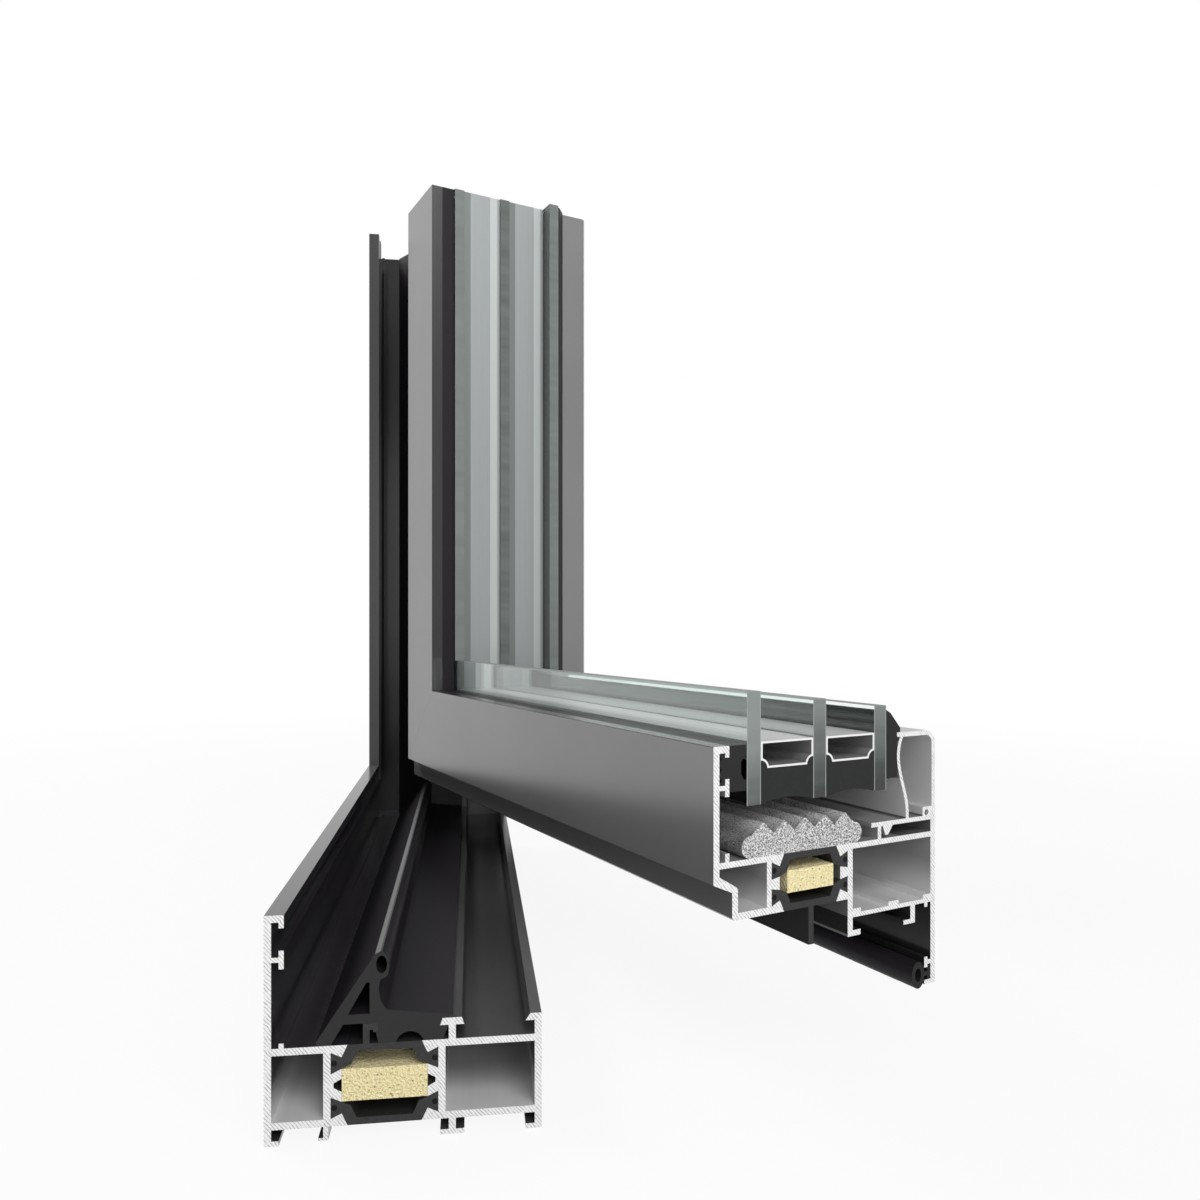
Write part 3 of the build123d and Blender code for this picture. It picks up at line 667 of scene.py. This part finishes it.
dress(
    grey_profile(
        "grey_inner_profile",
        [SASH_INNER_CHAMBER],
        # Painted shade on the sash's underside, a painted highlight along the leg's lower edge
        [Patch(SASH_UNDERSIDE_PAINTED_SHADE, grey(50)), Patch(SASH_LEG_EDGE_HIGHLIGHT, grey(140)), rebate_painted_light],
    ),
    *both(SASH_LENGTHS, ["profile_inner"]),
)
dress(
    grey_profile("grey_bead", [BEAD_CHAMBER], [rebate_painted_light], BEAD_COAT),
    *both(SASH_LENGTHS, ["bead"]),
)
strips = ["strip_upper", "strip_lower"]
dress(
    insulating_strip("frame_polyamide", FRAME_CORDS_MIDDLE, FRAME_CORDS_REACH),
    *both(FRAME_LENGTHS, strips),
)
dress(
    insulating_strip("sash_polyamide", SASH_CORDS_MIDDLE, SASH_CORDS_REACH, True),
    *both(SASH_LENGTHS, strips),
)
sash_gaskets = ["glazing_gasket", "bead_gasket", "overlap_gasket"]
dress(rubber("sash_rubber", 0.12, on_sash=True), *both(SASH_LENGTHS, sash_gaskets))
dress(rubber("frame_rubber", 0.2, GASKET_CREST_HIGHLIGHT), *both(FRAME_LENGTHS, ["centre_gasket"]))
dress(yellow_foam(), *both(FRAME_LENGTHS + SASH_LENGTHS, ["foam"]))
dress(grey_foam(), *both(SASH_LENGTHS, ["rebate_foam"]))
dress(window_glass(), "pane_outer", "pane_middle", "pane_inner")
dress(spacer_metal(), "spacer_outer", "spacer_inner")
dress(edge_sealant(), "edge_seal_outer", "edge_seal_inner")
dress(hinge_metal(), "hinge_frame_leaf", "hinge_sash_leaf", "hinge_pin")


def cross_slot_screw(name, place, outward):
    """A low screw head with a cross slot, half sunk in a hinge leaf."""
    bpy.ops.object.select_all(action="DESELECT")
    bpy.ops.mesh.primitive_cylinder_add(vertices=48, radius=SCREW_RADIUS, depth=SCREW_HEIGHT)
    screw = bpy.context.object
    screw.name = name
    bpy.ops.object.mode_set(mode="EDIT")
    bpy.ops.mesh.select_mode(type="FACE")
    mesh = bmesh.from_edit_mesh(screw.data)
    for face in mesh.faces:
        face.select_set(face.normal.z > 0.9)
    bmesh.update_edit_mesh(screw.data)
    bpy.ops.mesh.inset(thickness=0.25 * SCREW_RADIUS)
    bpy.ops.transform.translate(value=(0, 0, 0.2 * SCREW_HEIGHT))
    bpy.ops.mesh.bevel(offset=0.1 * SCREW_HEIGHT, segments=2)
    bpy.ops.object.mode_set(mode="OBJECT")
    for turn in (0, 90):
        bpy.ops.object.select_all(action="DESELECT")
        bpy.ops.mesh.primitive_cube_add(size=1, location=(0, 0, 0.6 * SCREW_HEIGHT))
        cutter = bpy.context.object
        cutter.scale = (1.3 * SCREW_RADIUS, 0.24 * SCREW_RADIUS, SCREW_HEIGHT)
        cutter.rotation_euler = (0, 0, math.radians(turn))
        bpy.context.view_layer.objects.active = screw
        slot = screw.modifiers.new("slot", "BOOLEAN")
        slot.operation = "DIFFERENCE"
        slot.object = cutter
        bpy.ops.object.modifier_apply(modifier="slot")
        bpy.data.objects.remove(cutter)
    bpy.ops.object.select_all(action="DESELECT")
    screw.select_set(True)
    bpy.context.view_layer.objects.active = screw
    screw.rotation_euler = outward.to_track_quat("Z", "Y").to_euler()
    screw.location = place
    bpy.ops.object.transform_apply(location=True, rotation=True, scale=True)
    bpy.ops.object.shade_smooth_by_angle(angle=math.radians(30))
    screw.data.materials.append(screw_steel)
    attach(screw, "root")


screw_steel = bright_steel()
leaf_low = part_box("hinge_frame_leaf")[0]
inner_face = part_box("jamb_profile_inner")[1].y
sash_face = inner_face - sill_low.y + SASH_OVERLAP
for count, (height, side) in enumerate(SCREW_PLACES, 1):
    level = leaf_low.z + height * MM
    on_frame = Vector((leaf_low.x + LEAF_MARGIN, inner_face + LEAF_THICKNESS, level))
    cross_slot_screw(f"frame_leaf_screw_{count}", on_frame, Vector((0, 1, 0)))
    on_sash = sash_corner + swing @ Vector((side * MM, sash_face + LEAF_THICKNESS, level))
    cross_slot_screw(f"sash_leaf_screw_{count}", on_sash, swing @ Vector((0, 1, 0)))


def seen_directly(tree):
    """1 for rays that show the background itself, in a mirror or through glass too."""
    path = tree.nodes.new("ShaderNodeLightPath").outputs
    shown = calculate(tree, "MAXIMUM", path["Is Camera Ray"], path["Is Glossy Ray"])
    return calculate(tree, "MAXIMUM", shown, path["Is Transmission Ray"])


def pale_floor():
    """A wide white floor that keeps a faint shadow near the sample."""
    bpy.ops.object.select_all(action="DESELECT")
    bpy.ops.mesh.primitive_plane_add(size=FLOOR_SIZE, location=(0, 0, 0))
    floor = bpy.context.object
    floor.name = "floor"
    material = bpy.data.materials.new("white_floor")
    material.use_nodes = True
    tree = material.node_tree
    paint = tree.nodes["Principled BSDF"]
    paint.inputs["Base Color"].default_value = (FLOOR_TONE, FLOOR_TONE, FLOOR_TONE, 1)
    paint.inputs["Roughness"].default_value = 1
    paint.inputs["Specular IOR Level"].default_value = 0
    glow = tree.nodes.new("ShaderNodeEmission")
    mix = tree.nodes.new("ShaderNodeMixShader")
    reach = tree.nodes.new("ShaderNodeVectorMath")
    reach.operation = "LENGTH"
    tree.links.new(tree.nodes.new("ShaderNodeTexCoord").outputs["Object"], reach.inputs[0])
    distance = reach.outputs["Value"]
    fade = (FLOOR_FADE_START, FLOOR_FADE_END, FLOOR_GLOW_NEAR, FLOOR_GLOW_FAR)
    share = stretch(tree, distance, *fade, "SMOOTHSTEP")
    wire(tree, calculate(tree, "MULTIPLY", seen_directly(tree), share), mix.inputs[0])
    tree.links.new(paint.outputs[0], mix.inputs[1])
    tree.links.new(glow.outputs[0], mix.inputs[2])
    tree.links.new(mix.outputs[0], tree.nodes["Material Output"].inputs[0])
    floor.data.materials.append(material)


def studio_world():
    """A white room, dimmer as a light than as a background."""
    world = bpy.data.worlds.new("studio")
    bpy.context.scene.world = world
    world.use_nodes = True
    tree = world.node_tree
    back = tree.nodes["Background"]
    back.inputs["Color"].default_value = (1, 1, 1, 1)
    strength = calculate(tree, "MULTIPLY", seen_directly(tree), 1 - ROOM_LIGHT)
    wire(tree, calculate(tree, "ADD", strength, ROOM_LIGHT), back.inputs["Strength"])


def soft_light(name, place, target, width, height, power):
    """A rectangular studio light, its sides in metres and its power in watts."""
    lamp = bpy.data.lights.new(name, "AREA")
    lamp.shape = "RECTANGLE"
    lamp.size = width
    lamp.size_y = height
    lamp.energy = power
    light = bpy.data.objects.new(name, lamp)
    light.location = place
    light.rotation_euler = (Vector(target) - Vector(place)).to_track_quat("-Z", "Y").to_euler()
    bpy.context.collection.objects.link(light)


studio_world()
pale_floor()
soft_light("key", (-0.35, -0.75, 1.05), FRAME_CORNER_MIDDLE, width=0.4, height=0.4, power=7.5)
soft_light("front", (1.1, 0.35, 1.0), SAMPLE_MIDDLE, width=0.9, height=0.6, power=10.5)
soft_light("fill", (1.0, 0.15, 0.25), SAMPLE_MIDDLE, width=0.5, height=0.4, power=3.0)

camera = bpy.data.objects.new("camera", bpy.data.cameras.new("camera"))
camera.data.sensor_width = CAMERA_SENSOR
camera.data.lens = CAMERA_LENS
camera.data.shift_y = CAMERA_RISE
camera.data.clip_start = CAMERA_NEAR_LIMIT
camera.location = CAMERA_PLACE
camera.rotation_euler = (math.radians(90), 0, math.radians(CAMERA_HEADING - 90))
bpy.context.collection.objects.link(camera)
bpy.context.scene.camera = camera
bpy.context.scene.view_settings.view_transform = "Standard"
